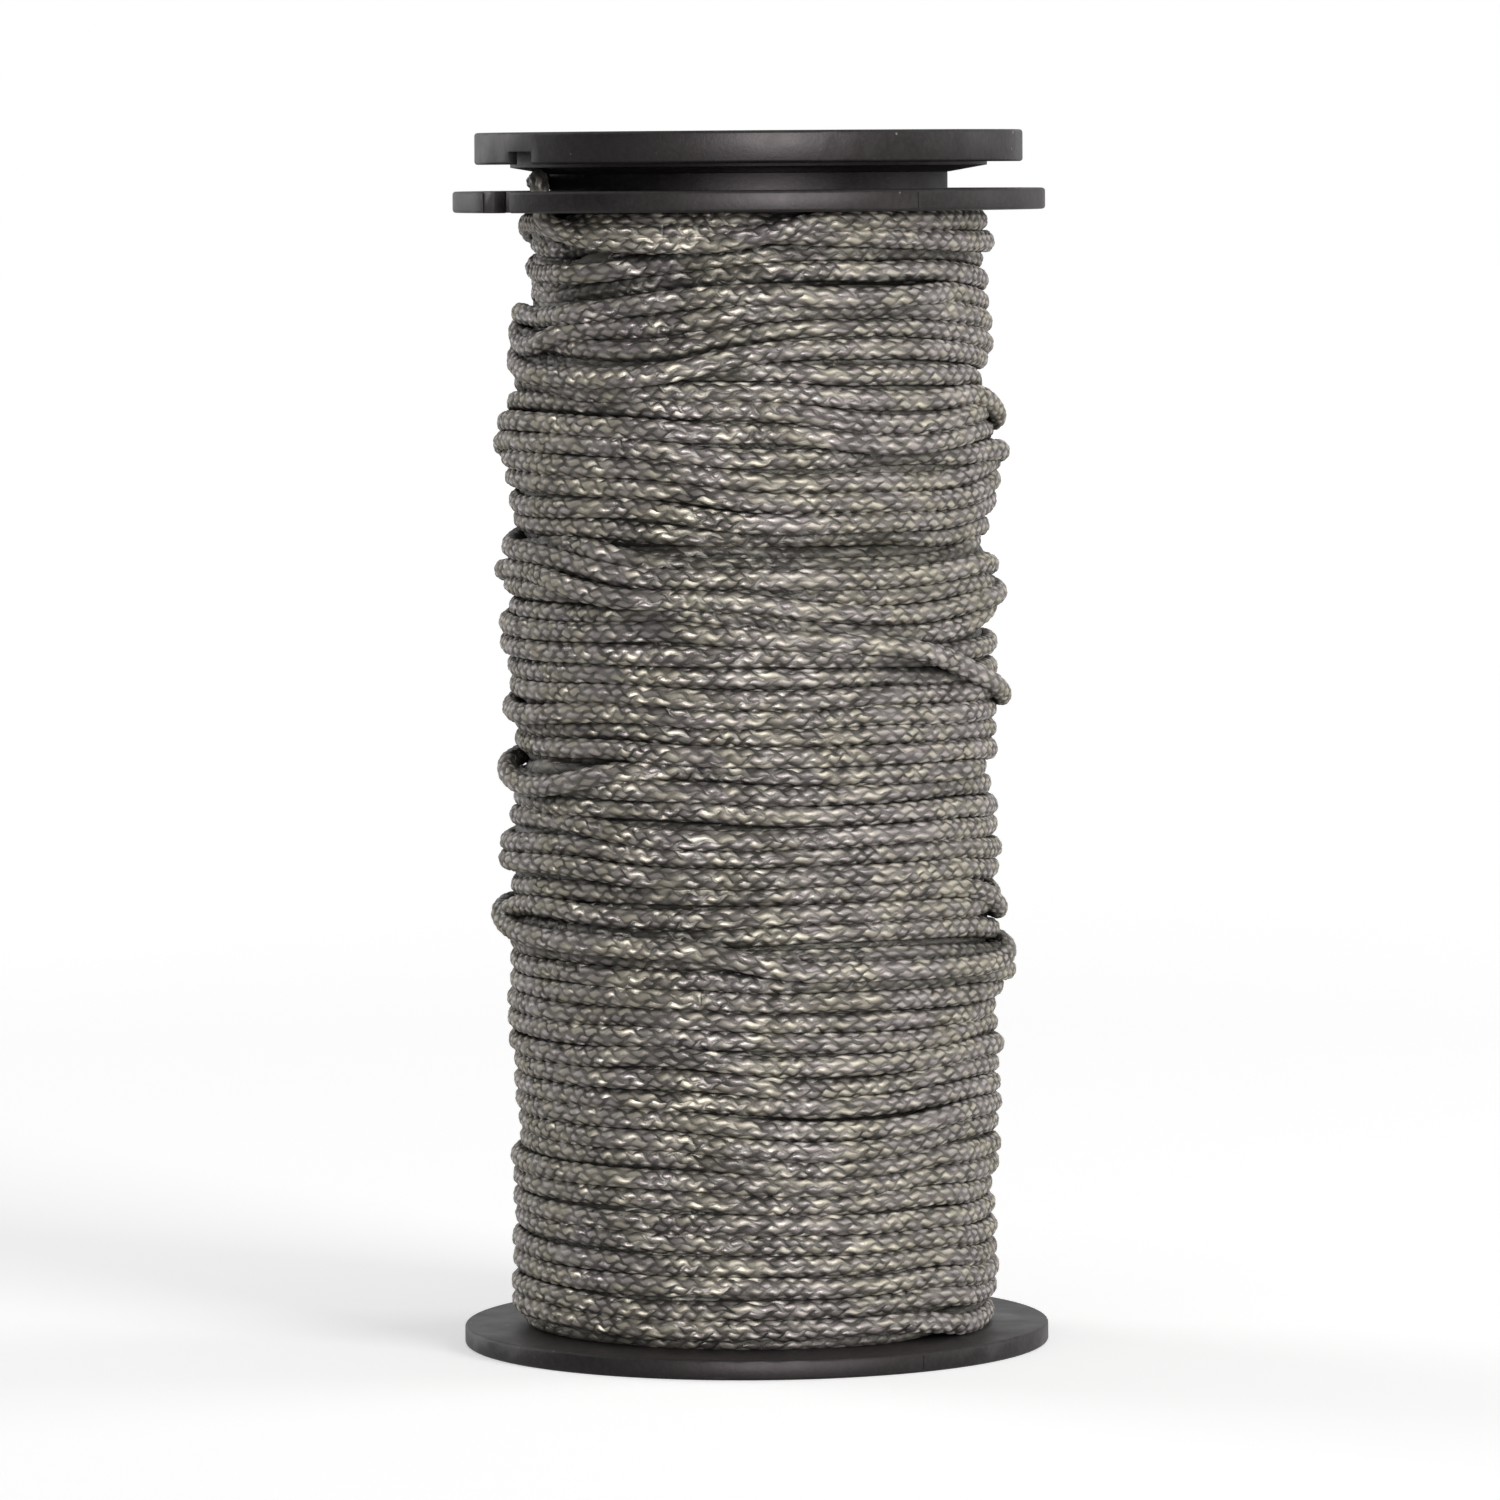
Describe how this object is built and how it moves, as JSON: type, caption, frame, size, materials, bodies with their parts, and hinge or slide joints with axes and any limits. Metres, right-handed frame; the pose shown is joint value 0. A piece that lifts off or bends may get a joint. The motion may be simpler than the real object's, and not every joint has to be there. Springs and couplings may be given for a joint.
{
  "type": "fishing line spool",
  "caption": "Slim hollow spool wound with braided line, with a slotted top flange and a snap cap that lifts to free the line's end.",
  "frame": {"origin": "centre of the base flange's underside, on the spool's axis", "axes": "+Z along the barrel towards the cap, -Y the front, +X to the right; the line slot is 55.4 degrees from the front towards -X"},
  "size_m": [0.028, 0.028, 0.0575],
  "materials": {
    "spool_plastic": "matte black moulded plastic",
    "cap_plastic": "matte black moulded plastic",
    "braided_line": "graphite grey braid with a metallic glint",
    "tape": "cream paper tape"
  },
  "bodies": {
    "spool": {"spool_body": "spool_plastic", "line_core": "braided_line", "line_winding": "braided_line", "line_tail": "braided_line", "start_tape": "tape"},
    "cap": {"snap_cap": "cap_plastic"}
  },
  "joints": [
    {"name": "cap_slide", "type": "slide", "parent": "spool", "child": "cap", "axis": [0, 0, 1], "range_m": [0, 0.002]}
  ]
}
